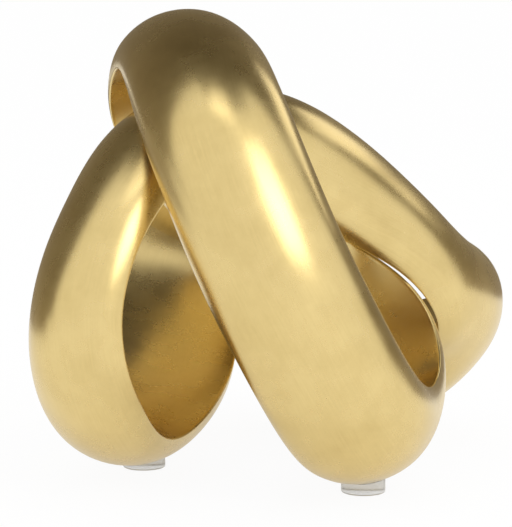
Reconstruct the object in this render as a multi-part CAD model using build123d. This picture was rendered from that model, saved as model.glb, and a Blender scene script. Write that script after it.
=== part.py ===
"""Metal knot sculpture: one closed band tied as a trefoil knot, standing on three clear bumpers.

The band is hollow. Each stretch is a half-round pressed shell with a flat strip welded over its open
side, and a sleeve inside each welded joint lines up the next stretch.
"""
import math
import os

from build123d import *

os.makedirs("parts", exist_ok=True)

# Driving sizes, in millimetres
band_width = 58.0          # across the flat face, crease to crease
band_depth = 25.0          # flat face to the crown of the rounded face
axis_depth = 10.5          # flat face to the centre line that the stations mark
shell_wall = 1.6           # sheet of the half-round shells
strip_thickness = 1.6      # sheet of the flat strips
weld_gap = 0.35            # seam between a shell's rims and its strip
sleeve_wall = 1.4          # sheet of the sleeves inside the joints
sleeve_length = 26.0       # along the band
sleeve_clearance = 0.4    # between a sleeve and the shell around it
foot_diameter = 18.0       # clear bumper
foot_height = 3.5          # floor to the lowest point of the band
foot_edge_rise = 1.3       # the bumper's rim stands this far above that point
foot_bevel = 0.8           # around the bumper's lower edge
adhesive_thickness = 0.4   # layer that holds a bumper to the band
adhesive_margin = 0.6      # the layer stops this far inside the bumper's rim
adhesive_clearance = 0.05  # between the layer and the band

# Shape of the rounded face: radius beside the creases as a share of its depth
side_share = 0.75

# The points that the flat face looks towards, one in the middle of each loop
left_eye = Vector(-53, -68, 79)
arch_eye = Vector(18, 7, 94)
right_eye = Vector(29, 8, 82)
back_eye = Vector(18, 26, 93)
top_eye = Vector(-32, -58, 150)
front_eye = Vector(13, -72, 63)
low_eye = Vector(7, -66, 81)
middle_eye = Vector(-40, -45, 54)

# Stations on the centre line, in the order that the band runs, with the eye that each one faces and
# how far its flat face is rolled from there about the band, in degrees
stations = [
    (Vector(-69, -30, 20), left_eye, 1),
    (Vector(-81, -74, 41), left_eye, 2),
    (Vector(-84, -82, 76), left_eye, 3),
    (Vector(-71, -67, 115), left_eye, 3),
    (Vector(-45, -46, 143), arch_eye, -2),
    (Vector(-1, -29, 140), arch_eye, 11),
    (Vector(40, -2, 114), arch_eye, 0),
    (Vector(70, 17, 84), right_eye, 4),
    (Vector(85, 46, 54), right_eye, 32),
    (Vector(59, 83, 26), right_eye, 6),
    (Vector(9, 86, 40), back_eye, 12),
    (Vector(-21, 62, 95), back_eye, 13),
    (Vector(-40, 40, 136), top_eye, 10),
    (Vector(-47, 11, 164), top_eye, 0),
    (Vector(-38, -36, 180), top_eye, -4),
    (Vector(-30, -83, 163), front_eye, -12),
    (Vector(-20, -105, 136), front_eye, -5),
    (Vector(-6, -117, 102), front_eye, 0),
    (Vector(12, -116, 66), front_eye, 0),
    (Vector(33, -95, 28), low_eye, -2),
    (Vector(44, -45, 25), low_eye, 3),
    (Vector(41, -9, 51), low_eye, 0),
    (Vector(23, 25, 76), middle_eye, 0),
    (Vector(8, 94, 114), middle_eye, -3),
    (Vector(-41, 117, 75), middle_eye, 9),
    (Vector(-50, 50, 29), left_eye, -3),
]
count = len(stations)

# Stretches of shell and strip, from station to station, and the station nearest each lobe's lowest point
stretches = {"left": (24, 30), "right": (4, 10), "back": (10, 12), "front": (12, 21), "middle": (21, 24)}
lowest_stations = {"left": 26, "right": 9, "front": 19}
seat_reach = 1.5             # stations each way that shape a bumper's seat
sections_per_station = 6

# Sizes that follow from the ones above
half_width = band_width / 2
rim_depth = strip_thickness + weld_gap
round_depth = band_depth - rim_depth
side_radius = side_share * round_depth
side_offset = half_width - side_radius
crown_radius = (side_offset**2 + round_depth**2 - side_radius**2) / (2 * (round_depth - side_radius))
turn = math.atan2(crown_radius - round_depth, side_offset)


def even_slopes(points):
    """Slopes that let a closed curve through the points bend evenly at each one."""
    slopes = [Vector(0, 0, 0)] * count
    for sweep in range(60):
        for i in range(count):
            chord = points[(i + 1) % count] - points[i - 1]
            slopes[i] = (chord * 3 - slopes[i - 1] - slopes[(i + 1) % count]) * 0.25
    return slopes


places = [place for place, eye, roll in stations]
place_slopes = even_slopes(places)


def facing_at(station):
    """Direction out of the flat face at a station: towards its eye, square to the band, then rolled."""
    place, eye, roll = stations[station]
    along = place_slopes[station].normalized()
    towards = eye - place
    square = (towards - along * towards.dot(along)).normalized()
    return square * math.cos(math.radians(roll)) + along.cross(square) * math.sin(math.radians(roll))


facings = [facing_at(station) for station in range(count)]
facing_slopes = even_slopes(facings)


def curve_at(points, slopes, station):
    """Point and slope of a closed curve, part-way between two stations."""
    low = math.floor(station)
    t = station - low
    p0, p1 = points[low % count], points[(low + 1) % count]
    m0, m1 = slopes[low % count], slopes[(low + 1) % count]
    across = (p1 - p0) * 3 - m0 * 2 - m1
    bend = (p0 - p1) * 2 + m0 + m1
    point = p0 + m0 * t + across * t**2 + bend * t**3
    slope = m0 + across * (2 * t) + bend * (3 * t**2)
    return point, slope


def plane_at(station):
    """Section plane: X across the band, Y out of the flat face, Z along the band."""
    place, slope = curve_at(places, place_slopes, station)
    facing, facing_slope = curve_at(facings, facing_slopes, station)
    along = slope.normalized()
    facing = (facing - along * facing.dot(along)).normalized()
    return Plane(origin=place, x_dir=facing.cross(along), z_dir=along)


def round_point(angle, inset):
    """Point of the rounded face, seen from its side arc's centre (or its crown's), as X and depth."""
    if angle <= turn:
        radius = side_radius - inset
        return side_offset + radius * math.cos(angle), rim_depth + radius * math.sin(angle)
    if angle >= math.pi - turn:
        x, depth = round_point(math.pi - angle, inset)
        return -x, depth
    radius = crown_radius - inset
    return radius * math.cos(angle), band_depth - crown_radius + radius * math.sin(angle)


def in_space(plane, x, depth):
    """Point of a section, given across the band and in from the flat face."""
    return plane.from_local_coords(Vector(x, axis_depth - depth))


def round_arcs(plane, inset):
    """Side arc, crown arc and side arc of the rounded face, from the right rim to the left."""
    ends = [0, turn, math.pi - turn, math.pi]
    arcs = []
    for start, end in zip(ends, ends[1:]):
        marks = [round_point(angle, inset) for angle in (start, (start + end) / 2, end)]
        arcs.append(Edge.make_three_point_arc(*[in_space(plane, x, depth) for x, depth in marks]))
    return arcs


def channel(plane, inset, wall):
    """Outline of a half-round sheet of the given wall, open towards the flat face."""
    outer = round_arcs(plane, inset)
    inner = round_arcs(plane, inset + wall)
    rims = [Edge.make_line(outer[0] @ 0, inner[0] @ 0), Edge.make_line(outer[2] @ 1, inner[2] @ 1)]
    return Wire(outer + inner + rims)


def filled(plane, swell):
    """Outline of the whole band, grown by a swell."""
    arcs = round_arcs(plane, -swell)
    return Wire(arcs + [Edge.make_line(arcs[2] @ 1, arcs[0] @ 0)])


def flat(plane):
    """Outline of the flat strip."""
    corners = [(half_width, 0), (half_width, strip_thickness), (-half_width, strip_thickness), (-half_width, 0)]
    return Wire.make_polygon([in_space(plane, x, depth) for x, depth in corners], close=True)


def along_band(outline, first, last, steps):
    """Solid through the given outline at even steps along the band."""
    planes = [plane_at(first + (last - first) * i / steps) for i in range(steps + 1)]
    return Solid.make_loft([outline(plane) for plane in planes])


def lowest_point(station):
    """Lowest point of the rounded face near a station."""
    planes = [plane_at(station + i / 20) for i in range(-30, 31)]
    marks = [round_point(math.pi * i / 40, 0) for i in range(41)]
    return min((in_space(plane, x, depth) for plane in planes for x, depth in marks), key=lambda p: p.Z)


solids = {}
for name, (first, last) in stretches.items():
    steps = (last - first) * sections_per_station
    solids["shell_" + name] = along_band(lambda plane: channel(plane, 0, shell_wall), first, last, steps)
    solids["strip_" + name] = along_band(flat, first, last, steps)
    reach = sleeve_length / 2 / curve_at(places, place_slopes, first)[1].length
    solids["sleeve_" + name] = along_band(
        lambda plane: channel(plane, shell_wall + sleeve_clearance, sleeve_wall), first - reach, first + reach, 4
    )

lows = {name: lowest_point(station) for name, station in lowest_stations.items()}
floor = min(low.Z for low in lows.values()) - foot_height
for name, low in lows.items():
    station = lowest_stations[name]
    span = (station - seat_reach, station + seat_reach, round(2 * seat_reach * sections_per_station))
    band = along_band(lambda plane: filled(plane, adhesive_clearance), *span)
    coated = along_band(lambda plane: filled(plane, adhesive_thickness), *span)
    base = Plane(origin=(low.X, low.Y, floor))
    tall = low.Z - floor + foot_edge_rise
    bumper = Solid.make_cylinder(foot_diameter / 2, tall, base)
    bumper = bumper.chamfer(foot_bevel, None, bumper.edges().group_by(Axis.Z)[0])
    solids["foot_" + name] = bumper - coated
    layer = Solid.make_cylinder(foot_diameter / 2 - adhesive_margin, tall, base)
    solids["adhesive_" + name] = (layer & coated) - band

# The floor is at zero, with the origin under the middle of the whole knot
bounds = Compound(list(solids.values())).bounding_box()
shift = Vector(-bounds.center().X, -bounds.center().Y, -floor)
for name, solid in solids.items():
    export_step(solid.moved(Location(shift)), f"parts/{name}.step")
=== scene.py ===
"""Satin gold knot sculpture on a white sweep: the band, its flat inner face and its clear bumpers."""

import math

import bpy
import numpy as np
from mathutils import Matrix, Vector
from mathutils.bvhtree import BVHTree


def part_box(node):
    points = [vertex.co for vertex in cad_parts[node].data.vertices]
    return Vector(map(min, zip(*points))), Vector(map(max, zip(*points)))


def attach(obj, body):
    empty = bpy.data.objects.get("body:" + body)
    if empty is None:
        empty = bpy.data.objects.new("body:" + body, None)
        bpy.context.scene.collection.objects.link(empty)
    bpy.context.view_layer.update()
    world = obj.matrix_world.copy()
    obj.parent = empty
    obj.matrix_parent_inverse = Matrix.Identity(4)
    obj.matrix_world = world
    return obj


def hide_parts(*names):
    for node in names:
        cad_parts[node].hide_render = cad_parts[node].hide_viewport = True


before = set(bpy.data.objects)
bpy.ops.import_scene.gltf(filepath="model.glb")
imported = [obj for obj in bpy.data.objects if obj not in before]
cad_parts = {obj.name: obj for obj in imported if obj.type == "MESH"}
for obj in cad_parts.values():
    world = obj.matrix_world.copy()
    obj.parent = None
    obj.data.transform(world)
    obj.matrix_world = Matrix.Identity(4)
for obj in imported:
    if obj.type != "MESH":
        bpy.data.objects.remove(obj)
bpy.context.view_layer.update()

MM = 0.001

# Band sizes, in millimetres, as in the solids
BAND_WIDTH = 58.0        # across the flat face, crease to crease
BAND_DEPTH = 25.0        # flat face to the crown of the rounded face
AXIS_DEPTH = 10.5        # flat face to the centre line that the stations mark
SHELL_WALL = 1.6         # sheet of the half-round shells
STRIP_THICKNESS = 1.6    # sheet of the flat strips
WELD_GAP = 0.35          # seam between a shell's rims and its strip
SIDE_SHARE = 0.75        # radius beside the creases as a share of the rounded face's depth
HALF_WIDTH = BAND_WIDTH / 2
RIM_DEPTH = STRIP_THICKNESS + WELD_GAP

# Ground creases, in millimetres
CREASE_RADIUS = 0.7
LIP = 1.6                # part of the flat face that belongs to the shell, beside each crease

# Unevenness of the hand-finished sheet: its depth in millimetres, and the swells that add up to it, each
# with its count round the whole band, the millimetres across that turn it by one radian, and its start
SHELL_WAVES = 0.3
STRIP_WAVES = 0.7
SWELLS = [(31, 9, 0.0), (23, -7, 1.3), (14, 5, 4.0)]

# Bumpers, in millimetres, and the rings of their undersides and tops as shares of the radius
FOOT_DIAMETER = 18.0
FOOT_EDGE_RADIUS = 0.8
FOOT_UNDERSIDE_RINGS = (0.35, 0.8)
FOOT_TOP_RINGS = (1.0, 0.93, 0.6, 0.3)
UNDER_FLOOR = -10.0      # height from which the band above a bumper is sought

# Mesh steps
STEPS_PER_STATION = 26   # along the band
ARC_STEPS = 44           # over the rounded face
FLAT_STEPS = 18          # across the flat face
CREASE_STEPS = 6         # over a ground crease
FOOT_SIDES = 72          # round a bumper
FOOT_EDGE_STEPS = 5      # over a bumper's lower edge

# Edges that bend more than this stay crisp
SHARP_ANGLE = math.radians(40)

# Gold: two shades with the noise levels that they stand at, patches and brush marks per metre
GOLD_DEEP = (0.69, 0.522, 0.218)
GOLD_PALE = (0.82, 0.642, 0.29)
GOLD_DEEP_LEVEL = 0.42
GOLD_PALE_LEVEL = 0.88
MOTTLE_SCALE = 38.0
BRUSH_SCALE = (60.0, 1500.0, 1.0)
BRUSH_SHARE = 0.3        # of the brushing in the shade, beside the mottling
BRUSH_STRENGTH = 0.06
BRUSH_RELIEF = 0.2 * MM
LENGTH_MAP = "band"      # map of metres along the band and round its section

# Roughness of the polished shells, the flat strips and the raw sleeves, and how the mottling spreads it
SHELL_ROUGHNESS = 0.26
STRIP_ROUGHNESS = 0.27
SLEEVE_ROUGHNESS = 0.5
SMOOTHER_BY = 0.04
ROUGHER_BY = 0.05
MOTTLE_LOW = 0.3
MOTTLE_HIGH = 0.7

# Clear plastic, with the shades and the roughness of its faint cloud
CLEAR_TRANSMISSION = 0.75
CLEAR_IOR = 1.46
CLEAR_DULL = (0.9, 0.9, 0.89)
CLEAR_BRIGHT = (0.97, 0.97, 0.96)
CLEAR_SMOOTHEST = 0.12
CLEAR_ROUGHEST = 0.3
CLOUD_SCALE = 220.0

# Floor: its reach each way in metres, its shade, and how much of its own white the camera and the metal see
FLOOR_REACH = 60.0
FLOOR_SHADE = (0.9, 0.9, 0.9)
FLOOR_WHITE_IN_VIEW = 0.94
FLOOR_WHITE_IN_METAL = 0.5

# Dark canopy that the metal mirrors: a glowing sheet whose painted shades stand in for the dim studio in
# reflections, in metres and in degrees from straight behind and from the horizon
CANOPY_RADIUS = 3.0
CANOPY_LEFT = 93.0
CANOPY_RIGHT = 78.0
CANOPY_FOOT = 2.0
CANOPY_ALL_ROUND = 70.0  # above this it covers the front as well
CANOPY_FADE = 2.8        # height at which its upper shade is reached
CANOPY_LOW = (0.27, 0.235, 0.185)
CANOPY_HIGH = (0.1, 0.085, 0.065)
CANOPY_ROWS = 30
CANOPY_COLUMNS = 72

# Dark skirt under the canopy: a glowing band of painted reflection for dim surroundings low behind the
# object, in metres
SKIRT_RADIUS = 0.6
SKIRT_HEIGHT = 0.13
SKIRT_LOW = (0.34, 0.3, 0.25)
SKIRT_COLUMNS = 48

# Height of the point that the lamps look at, in metres
LAMP_TARGET = 0.1

# Camera as in the photograph: place in metres, tilt up from straight down, sensor and lens in millimetres
CAMERA_PLACE = (-0.0105, -0.9845, 0.2059)
CAMERA_TILT = math.radians(83.0)
SENSOR_WIDTH = 36.0
LENS = 161.7

# Points that the flat face looks towards, and the stations of the centre line, in millimetres, with
# the roll of the flat face there in degrees
EYES = {
    "left": (-53, -68, 79),
    "arch": (18, 7, 94),
    "right": (29, 8, 82),
    "back": (18, 26, 93),
    "top": (-32, -58, 150),
    "front": (13, -72, 63),
    "low": (7, -66, 81),
    "middle": (-40, -45, 54),
}
STATIONS = [
    ((-69, -30, 20), "left", 1),
    ((-81, -74, 41), "left", 2),
    ((-84, -82, 76), "left", 3),
    ((-71, -67, 115), "left", 3),
    ((-45, -46, 143), "arch", -2),
    ((-1, -29, 140), "arch", 11),
    ((40, -2, 114), "arch", 0),
    ((70, 17, 84), "right", 4),
    ((85, 46, 54), "right", 32),
    ((59, 83, 26), "right", 6),
    ((9, 86, 40), "back", 12),
    ((-21, 62, 95), "back", 13),
    ((-40, 40, 136), "top", 10),
    ((-47, 11, 164), "top", 0),
    ((-38, -36, 180), "top", -4),
    ((-30, -83, 163), "front", -12),
    ((-20, -105, 136), "front", -5),
    ((-6, -117, 102), "front", 0),
    ((12, -116, 66), "front", 0),
    ((33, -95, 28), "low", -2),
    ((44, -45, 25), "low", 3),
    ((41, -9, 51), "low", 0),
    ((23, 25, 76), "middle", 0),
    ((8, 94, 114), "middle", -3),
    ((-41, 117, 75), "middle", 9),
    ((-50, 50, 29), "left", -3),
]
COUNT = len(STATIONS)

# Stretches of shell and strip, from station to station
STRETCHES = {"left": (24, 30), "right": (4, 10), "back": (10, 12), "front": (12, 21), "middle": (21, 24)}


def even_slopes(points):
    """Slopes that let a closed curve through the points bend evenly at each one."""
    ring = np.eye(COUNT)
    pull = 4 * ring + np.roll(ring, 1, axis=1) + np.roll(ring, -1, axis=1)
    return np.linalg.solve(pull, 3 * (np.roll(points, -1, axis=0) - np.roll(points, 1, axis=0)))


def unit(rows):
    """Rows scaled to length one."""
    return rows / np.linalg.norm(rows, axis=1, keepdims=True)


def square_to(rows, along):
    """Unit rows in the direction of the given ones, turned square to the band."""
    return unit(rows - along * (rows * along).sum(axis=1, keepdims=True))


def station_facings():
    """Direction out of the flat face at each station: towards its eye, square to the band, then rolled."""
    along = unit(PLACE_SLOPES)
    towards = np.array([EYES[eye] for place, eye, roll in STATIONS], float) - PLACES
    square = square_to(towards, along)
    rolls = np.radians([roll for place, eye, roll in STATIONS])[:, None]
    return square * np.cos(rolls) + np.cross(along, square) * np.sin(rolls)


PLACES = np.array([place for place, eye, roll in STATIONS], float)
PLACE_SLOPES = even_slopes(PLACES)
FACINGS = station_facings()
FACING_SLOPES = even_slopes(FACINGS)


def curve_at(points, slopes, stations):
    """Points and slopes of a closed curve at the given stations."""
    low = np.floor(stations).astype(int)
    t = (stations - low)[:, None]
    p0, p1 = points[low % COUNT], points[(low + 1) % COUNT]
    m0, m1 = slopes[low % COUNT], slopes[(low + 1) % COUNT]
    across = 3 * (p1 - p0) - 2 * m0 - m1
    bend = 2 * (p0 - p1) + m0 + m1
    return p0 + m0 * t + across * t**2 + bend * t**3, m0 + 2 * across * t + 3 * bend * t**2


def frames_at(stations):
    """Centre, direction across the band and direction out of its flat face, at the given stations."""
    centre, slope = curve_at(PLACES, PLACE_SLOPES, stations)
    facing, facing_slope = curve_at(FACINGS, FACING_SLOPES, stations)
    along = unit(slope)
    facing = square_to(facing, along)
    return centre, np.cross(facing, along), facing


def round_profile(inset):
    """Rounded face from the right rim to the left one, as X and depth: a side, the crown and a side."""
    round_depth = BAND_DEPTH - RIM_DEPTH
    side = SIDE_SHARE * round_depth
    offset = HALF_WIDTH - side
    crown = (offset**2 + round_depth**2 - side**2) / (2 * (round_depth - side))
    crown_start = math.atan2(crown - round_depth, offset)
    points = []
    for i in range(ARC_STEPS + 1):
        angle = math.pi * i / ARC_STEPS
        on_left = angle > math.pi / 2
        lift = math.pi - angle if on_left else angle
        if lift <= crown_start:
            x = offset + (side - inset) * math.cos(lift)
            depth = RIM_DEPTH + (side - inset) * math.sin(lift)
        else:
            x = (crown - inset) * math.cos(lift)
            depth = BAND_DEPTH - crown + (crown - inset) * math.sin(lift)
        points.append((-x if on_left else x, depth))
    return points


def crease_profile():
    """Ground right crease, from the lip on the flat face down to the rim, as X and depth."""
    points = [(HALF_WIDTH - LIP, 0.0), (HALF_WIDTH - LIP / 2 - CREASE_RADIUS / 2, 0.0)]
    for i in range(CREASE_STEPS + 1):
        angle = math.pi / 2 * i / CREASE_STEPS
        x = HALF_WIDTH - CREASE_RADIUS * (1 - math.sin(angle))
        points.append((x, CREASE_RADIUS * (1 - math.cos(angle))))
    points.append((HALF_WIDTH, (CREASE_RADIUS + RIM_DEPTH) / 2))
    return points


def shell_profile():
    """Closed outline of a half-round shell with its ground creases."""
    right = crease_profile()
    left = [(-x, depth) for x, depth in reversed(right)]
    inner = [(-x, depth) for x, depth in round_profile(SHELL_WALL)]
    left_lip_back = (LIP - HALF_WIDTH, STRIP_THICKNESS)
    right_lip_back = (HALF_WIDTH - LIP, STRIP_THICKNESS)
    return right + round_profile(0) + left + [left_lip_back] + inner + [right_lip_back]


def strip_profile():
    """Closed outline of a flat strip between the lips of its shell, its seen face first."""
    half = HALF_WIDTH - LIP
    seen = [(-half + 2 * half * i / FLAT_STEPS, 0.0) for i in range(FLAT_STEPS + 1)]
    hidden = [(x, STRIP_THICKNESS) for x, depth in reversed(seen)]
    return seen + hidden


def hand_waves(stations, x):
    """Unevenness of the hand-finished sheet, from 0 to 1, which dies out at the creases."""
    along = 2 * math.pi * stations[:, None] / COUNT
    across = x[None, :]
    swell = sum(np.sin(turns * along + across / slant + start) for turns, slant, start in SWELLS)
    return (swell + len(SWELLS)) / (2 * len(SWELLS)) * (1 - (across / HALF_WIDTH) ** 2)


def lengths(points):
    """Distance along a row of points, from the first one to each."""
    return np.concatenate([[0], np.cumsum(np.linalg.norm(np.diff(points, axis=0), axis=1))])


def ring_faces(rings, count):
    """Faces between rings of points, each ring closed and joined to the next."""
    faces = []
    for i in range(rings - 1):
        for j in range(count):
            k = (j + 1) % count
            faces.append((i * count + j, i * count + k, (i + 1) * count + k, (i + 1) * count + j))
    return faces


def add_mesh(name, verts, faces):
    """New mesh object in the scene."""
    mesh = bpy.data.meshes.new(name)
    mesh.from_pydata(verts, [], faces)
    thing = bpy.data.objects.new(name, mesh)
    bpy.context.collection.objects.link(thing)
    return thing


def smooth_faces(mesh):
    """Shade a mesh smooth, with its sharp edges left crisp."""
    mesh.validate()
    mesh.shade_smooth()
    mesh.set_sharp_from_angle(angle=SHARP_ANGLE)


def band_mesh(name, profile, first, last, waves):
    """Closed profile carried along the band, with its depth waved and a map of its lengths."""
    steps = (last - first) * STEPS_PER_STATION
    stations = np.linspace(first, last, steps + 1)
    centre, across, facing = frames_at(stations)
    outline = np.array(profile)
    depth = outline[:, 1] + waves * hand_waves(stations, outline[:, 0])
    rings = (
        centre[:, None, :]
        + across[:, None, :] * outline[None, :, :1]
        + facing[:, None, :] * (AXIS_DEPTH - depth[:, :, None])
    )
    count = len(outline)
    first_end = tuple(range(count - 1, -1, -1))
    last_end = tuple(range(steps * count, (steps + 1) * count))
    faces = ring_faces(steps + 1, count) + [first_end, last_end]
    piece = add_mesh(name, (rings.reshape(-1, 3) * MM).tolist(), faces)
    run = lengths(centre) * MM
    girth = lengths(outline) * MM
    layer = piece.data.uv_layers.new(name=LENGTH_MAP)
    for corner in piece.data.loops:
        ring, point = divmod(corner.vertex_index, count)
        layer.data[corner.index].uv = (run[ring], girth[point])
    smooth_faces(piece.data)
    return piece


def bounds_of(piece):
    """Lowest and highest corner of a mesh."""
    points = np.array([v.co[:] for v in piece.data.vertices])
    return points.min(axis=0), points.max(axis=0)


def dress(piece, node_name):
    """Let a piece belong to the object, in place of the solid of the given name."""
    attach(piece, "root")
    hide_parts(node_name)


def new_material(name):
    """New material and its node tree."""
    material = bpy.data.materials.new(name)
    material.use_nodes = True
    return material, material.node_tree


def node(tree, kind, **values):
    """New shader node with the given inputs set."""
    made = tree.nodes.new(kind)
    for key, value in values.items():
        made.inputs[key.replace("_", " ")].default_value = value
    return made


def math_result(tree, operation, *inputs):
    """Result of a math node, whose inputs are other nodes' results or plain numbers."""
    made = tree.nodes.new("ShaderNodeMath")
    made.operation = operation
    for socket, value in zip(made.inputs, inputs):
        if isinstance(value, bpy.types.NodeSocket):
            tree.links.new(value, socket)
        else:
            socket.default_value = value
    return made.outputs["Value"]


def ramp(tree, low_shade, high_shade, low_level=0.0, high_level=1.0):
    """New colour ramp from one shade to another."""
    made = tree.nodes.new("ShaderNodeValToRGB")
    low, high = made.color_ramp.elements
    low.position = low_level
    low.color = (*low_shade, 1)
    high.position = high_level
    high.color = (*high_shade, 1)
    return made


def gold_material(name, roughness):
    """Satin gold metal: fine brushing along the band and soft mottling."""
    material, tree = new_material(name)
    links = tree.links
    shader = tree.nodes["Principled BSDF"]
    shader.inputs["Metallic"].default_value = 1.0
    place = tree.nodes.new("ShaderNodeTexCoord")
    band = tree.nodes.new("ShaderNodeUVMap")
    band.uv_map = LENGTH_MAP

    stretch = node(tree, "ShaderNodeMapping", Scale=BRUSH_SCALE)
    links.new(band.outputs["UV"], stretch.inputs["Vector"])
    brush = node(tree, "ShaderNodeTexNoise", Scale=1.0, Detail=3.0, Roughness=0.55)
    links.new(stretch.outputs["Vector"], brush.inputs["Vector"])
    mottle = node(tree, "ShaderNodeTexNoise", Scale=MOTTLE_SCALE, Detail=5.0, Roughness=0.62)
    links.new(place.outputs["Object"], mottle.inputs["Vector"])

    streaked = math_result(tree, "MULTIPLY_ADD", brush.outputs["Fac"], BRUSH_SHARE, mottle.outputs["Fac"])
    tint = ramp(tree, GOLD_DEEP, GOLD_PALE, GOLD_DEEP_LEVEL, GOLD_PALE_LEVEL)
    links.new(streaked, tint.inputs["Fac"])
    links.new(tint.outputs["Color"], shader.inputs["Base Color"])

    rough = node(tree, "ShaderNodeMapRange", From_Min=MOTTLE_LOW, From_Max=MOTTLE_HIGH)
    rough.inputs["To Min"].default_value = roughness - SMOOTHER_BY
    rough.inputs["To Max"].default_value = roughness + ROUGHER_BY
    links.new(mottle.outputs["Fac"], rough.inputs["Value"])
    links.new(rough.outputs["Result"], shader.inputs["Roughness"])

    fine = node(tree, "ShaderNodeBump", Strength=BRUSH_STRENGTH, Distance=BRUSH_RELIEF)
    links.new(brush.outputs["Fac"], fine.inputs["Height"])
    links.new(fine.outputs["Normal"], shader.inputs["Normal"])
    return material


def clear_material(name):
    """Clear soft plastic with a faint milky cloud."""
    material, tree = new_material(name)
    links = tree.links
    shader = tree.nodes["Principled BSDF"]
    shader.inputs["Transmission Weight"].default_value = CLEAR_TRANSMISSION
    shader.inputs["IOR"].default_value = CLEAR_IOR
    place = tree.nodes.new("ShaderNodeTexCoord")
    cloud = node(tree, "ShaderNodeTexNoise", Scale=CLOUD_SCALE, Detail=3.0)
    links.new(place.outputs["Object"], cloud.inputs["Vector"])
    tint = ramp(tree, CLEAR_DULL, CLEAR_BRIGHT)
    links.new(cloud.outputs["Fac"], tint.inputs["Fac"])
    links.new(tint.outputs["Color"], shader.inputs["Base Color"])
    rough = node(tree, "ShaderNodeMapRange", To_Min=CLEAR_SMOOTHEST, To_Max=CLEAR_ROUGHEST)
    links.new(cloud.outputs["Fac"], rough.inputs["Value"])
    links.new(rough.outputs["Result"], shader.inputs["Roughness"])
    return material


gold = gold_material("satin_gold", SHELL_ROUGHNESS)
gold_flat = gold_material("satin_gold_flat", STRIP_ROUGHNESS)
sleeve_metal = gold_material("raw_sheet", SLEEVE_ROUGHNESS)
clear_plastic = clear_material("clear_plastic")

# Band pieces: waves sink a strip's flat face deeper, and bring a shell's crown nearer to the flat face
band_pieces = {}
for stretch_name, (first_station, last_station) in STRETCHES.items():
    for kind, profile, material, waves in (
        ("shell", shell_profile(), gold, -SHELL_WAVES),
        ("strip", strip_profile(), gold_flat, STRIP_WAVES),
    ):
        node_name = f"{kind}_{stretch_name}"
        piece = band_mesh(f"{node_name}_finish", profile, first_station, last_station, waves)
        piece.data.materials.append(material)
        band_pieces[node_name] = piece

# The band stands where its solids do
solid_low, solid_high = (np.array(corner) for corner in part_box("shell_front"))
mesh_low, mesh_high = bounds_of(band_pieces["shell_front"])
shift = Vector((solid_low + solid_high - mesh_low - mesh_high) / 2)
for node_name, piece in band_pieces.items():
    for vertex in piece.data.vertices:
        vertex.co += shift
    dress(piece, node_name)


def bumper(name, shell):
    """Clear bumper with a rounded lower edge, its top moulded to the band above it."""
    low, high = (np.array(corner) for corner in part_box(name))
    middle = (low + high) / 2
    radius = FOOT_DIAMETER / 2 * MM
    edge = FOOT_EDGE_RADIUS * MM
    band = BVHTree.FromObject(shell, bpy.context.evaluated_depsgraph_get())

    def ring(reach):
        """X and Y of the points round the bumper at the given radius."""
        turns = [2 * math.pi * side / FOOT_SIDES for side in range(FOOT_SIDES)]
        return [(middle[0] + reach * math.cos(turn), middle[1] + reach * math.sin(turn)) for turn in turns]

    def top_at(x, y):
        """Height of the band above a point, and at most that of the bumper's solid."""
        hit = band.ray_cast(Vector((x, y, UNDER_FLOOR * MM)), Vector((0, 0, 1)))[0]
        return min(hit.z if hit else high[2], high[2])

    lower = [(radius * share, 0.0) for share in FOOT_UNDERSIDE_RINGS] + [(radius - edge, 0.0)]
    for i in range(1, FOOT_EDGE_STEPS + 1):
        angle = math.pi / 2 * i / FOOT_EDGE_STEPS
        lower.append((radius - edge * (1 - math.sin(angle)), edge * (1 - math.cos(angle))))
    verts = [(x, y, height) for reach, height in lower for x, y in ring(reach)]
    verts += [(x, y, top_at(x, y)) for share in FOOT_TOP_RINGS for x, y in ring(radius * share)]
    faces = ring_faces(len(lower) + len(FOOT_TOP_RINGS), FOOT_SIDES)

    base_centre = len(verts)
    top_centre = base_centre + 1
    last_ring = base_centre - FOOT_SIDES
    verts += [(middle[0], middle[1], 0.0), (middle[0], middle[1], top_at(middle[0], middle[1]))]
    for side in range(FOOT_SIDES):
        beside = (side + 1) % FOOT_SIDES
        faces.append((base_centre, beside, side))
        faces.append((last_ring + side, last_ring + beside, top_centre))
    piece = add_mesh(name + "_finish", verts, faces)
    smooth_faces(piece.data)
    piece.data.materials.append(clear_plastic)
    dress(piece, name)


bpy.context.view_layer.update()
for lobe in ("left", "right", "front"):
    bumper("foot_" + lobe, band_pieces["shell_" + lobe])

# Hidden pieces are the solids themselves
hidden_materials = {"sleeve": sleeve_metal, "adhesive": clear_plastic}
for node_name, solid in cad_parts.items():
    kind = node_name.split("_")[0]
    if kind in hidden_materials:
        solid.data.materials.clear()
        solid.data.materials.append(hidden_materials[kind])


def floor_material():
    """White sweep: mostly its own white for the camera, with the shadow left in."""
    material, tree = new_material("white_sweep")
    links = tree.links
    tree.nodes.clear()
    out = tree.nodes.new("ShaderNodeOutputMaterial")
    mix = tree.nodes.new("ShaderNodeMixShader")
    matt = node(tree, "ShaderNodeBsdfDiffuse", Color=(*FLOOR_SHADE, 1))
    white = node(tree, "ShaderNodeEmission", Color=(1, 1, 1, 1), Strength=1.0)
    ray = tree.nodes.new("ShaderNodeLightPath").outputs
    mirrored = math_result(tree, "MAXIMUM", ray["Is Glossy Ray"], ray["Is Transmission Ray"])
    in_metal = math_result(tree, "MULTIPLY", mirrored, FLOOR_WHITE_IN_METAL)
    share = math_result(tree, "MULTIPLY_ADD", ray["Is Camera Ray"], FLOOR_WHITE_IN_VIEW, in_metal)
    links.new(share, mix.inputs["Fac"])
    links.new(matt.outputs["BSDF"], mix.inputs[1])
    links.new(white.outputs["Emission"], mix.inputs[2])
    links.new(mix.outputs["Shader"], out.inputs["Surface"])
    return material


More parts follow.
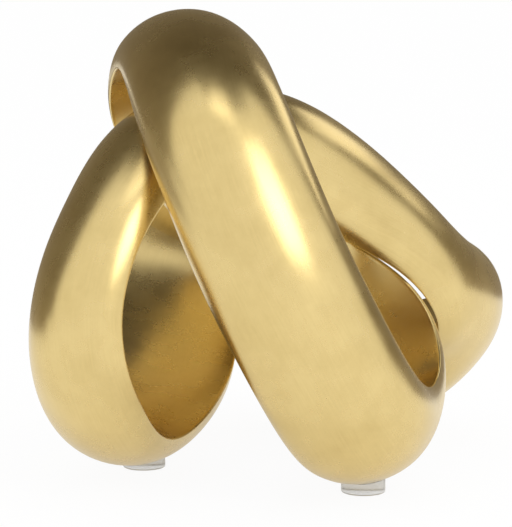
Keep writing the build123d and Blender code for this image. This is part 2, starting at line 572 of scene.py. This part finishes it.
floor_corners = [(FLOOR_REACH * x, FLOOR_REACH * y, 0) for x, y in ((-1, -1), (1, -1), (1, 1), (-1, 1))]
floor = add_mesh("floor", floor_corners, [(0, 1, 2, 3)])
floor.data.materials.append(floor_material())

# World: even white all round
world = bpy.data.worlds.new("studio")
bpy.context.scene.world = world
world.use_nodes = True
background = world.node_tree.nodes["Background"]
background.inputs["Color"].default_value = (1, 1, 1, 1)
background.inputs["Strength"].default_value = 1.0


def reflection_glow_material(name, low_shade, high_shade, fade_height):
    """Glowing sheet of painted reflection that fades from its lower shade to its upper one: painted shade,
    darker towards the top.
    """
    material, tree = new_material(name)
    links = tree.links
    tree.nodes.clear()
    out = tree.nodes.new("ShaderNodeOutputMaterial")
    place = tree.nodes.new("ShaderNodeTexCoord")
    split = tree.nodes.new("ShaderNodeSeparateXYZ")
    links.new(place.outputs["Object"], split.inputs["Vector"])
    height = node(tree, "ShaderNodeMapRange", From_Max=fade_height)
    links.new(split.outputs["Z"], height.inputs["Value"])
    shade = ramp(tree, low_shade, high_shade)
    links.new(height.outputs["Result"], shade.inputs["Fac"])
    glow = node(tree, "ShaderNodeEmission", Strength=1.0)
    links.new(shade.outputs["Color"], glow.inputs["Color"])
    links.new(glow.outputs["Emission"], out.inputs["Surface"])
    return material


def hang_reflection_glow(name, verts, faces, material):
    """Glowing sheet of painted reflection that the metal mirrors, and that neither shows to the camera nor
    shades the floor.
    """
    glow_sheet = add_mesh(name, verts, faces)
    glow_sheet.visible_camera = False
    glow_sheet.visible_diffuse = False
    glow_sheet.visible_shadow = False
    glow_sheet.data.materials.append(material)


def canopy_lift(row):
    """Degrees above the horizon of a row of the canopy's points."""
    return CANOPY_FOOT + (90 - CANOPY_FOOT) * row / CANOPY_ROWS


def canopy():
    """Dark glowing dome of painted reflection behind and above the object, open to the front below its
    upper part.
    """
    verts = []
    for row in range(CANOPY_ROWS + 1):
        lift = math.radians(canopy_lift(row))
        reach = CANOPY_RADIUS * math.cos(lift)
        for column in range(CANOPY_COLUMNS):
            turn = 2 * math.pi * column / CANOPY_COLUMNS
            verts.append((reach * math.sin(turn), reach * math.cos(turn), CANOPY_RADIUS * math.sin(lift)))
    faces = []
    for i, face in enumerate(ring_faces(CANOPY_ROWS + 1, CANOPY_COLUMNS)):
        row, column = divmod(i, CANOPY_COLUMNS)
        turn = (360 * (column + 0.5) / CANOPY_COLUMNS + 180) % 360 - 180
        if canopy_lift(row + 0.5) >= CANOPY_ALL_ROUND or -CANOPY_LEFT < turn < CANOPY_RIGHT:
            faces.append(face)
    material = reflection_glow_material("canopy_painted_reflection", CANOPY_LOW, CANOPY_HIGH, CANOPY_FADE)
    hang_reflection_glow("canopy", verts, faces, material)


def skirt():
    """Dark glowing band of painted reflection on the floor round the back of the object, up to where the
    canopy starts.
    """
    verts = []
    for column in range(SKIRT_COLUMNS + 1):
        turn = math.radians(-CANOPY_LEFT + (CANOPY_LEFT + CANOPY_RIGHT) * column / SKIRT_COLUMNS)
        x, y = SKIRT_RADIUS * math.sin(turn), SKIRT_RADIUS * math.cos(turn)
        verts += [(x, y, 0), (x, y, SKIRT_HEIGHT)]
    faces = [(low, low + 2, low + 3, low + 1) for low in range(0, 2 * SKIRT_COLUMNS, 2)]
    material = reflection_glow_material("skirt_painted_reflection", SKIRT_LOW, CANOPY_LOW, SKIRT_HEIGHT)
    hang_reflection_glow("skirt", verts, faces, material)


canopy()
skirt()


def softbox(name, azimuth, elevation, distance, width, height, radiance):
    """Soft rectangular lamp that looks at the object, placed by its direction in degrees and its distance.

    The azimuth is from the front towards the right, and lamps of the same radiance have equally bright
    faces, whatever their size.
    """
    lamp = bpy.data.lights.new(name, "AREA")
    lamp.shape = "RECTANGLE"
    lamp.size = width
    lamp.size_y = height
    lamp.energy = radiance * math.pi * width * height
    thing = bpy.data.objects.new(name, lamp)
    turn, lift = math.radians(azimuth), math.radians(elevation)
    out = Vector((math.sin(turn) * math.cos(lift), -math.cos(turn) * math.cos(lift), math.sin(lift)))
    thing.location = Vector((0, 0, LAMP_TARGET)) + out * distance
    thing.rotation_euler = out.to_track_quat("Z", "Y").to_euler()
    bpy.context.collection.objects.link(thing)


softbox("key", azimuth=29, elevation=34, distance=1.5, width=0.65, height=0.8, radiance=2.6)
softbox("left_top", azimuth=-14, elevation=69, distance=1.6, width=0.5, height=0.5, radiance=1.2)
softbox("rim", azimuth=130, elevation=32, distance=1.6, width=0.85, height=0.5, radiance=1.3)

camera_data = bpy.data.cameras.new("camera")
camera_data.sensor_fit = "HORIZONTAL"
camera_data.sensor_width = SENSOR_WIDTH
camera_data.lens = LENS
camera = bpy.data.objects.new("camera", camera_data)
camera.location = CAMERA_PLACE
camera.rotation_euler = (CAMERA_TILT, 0, 0)
bpy.context.collection.objects.link(camera)
bpy.context.scene.camera = camera

bpy.context.scene.view_settings.view_transform = "Standard"
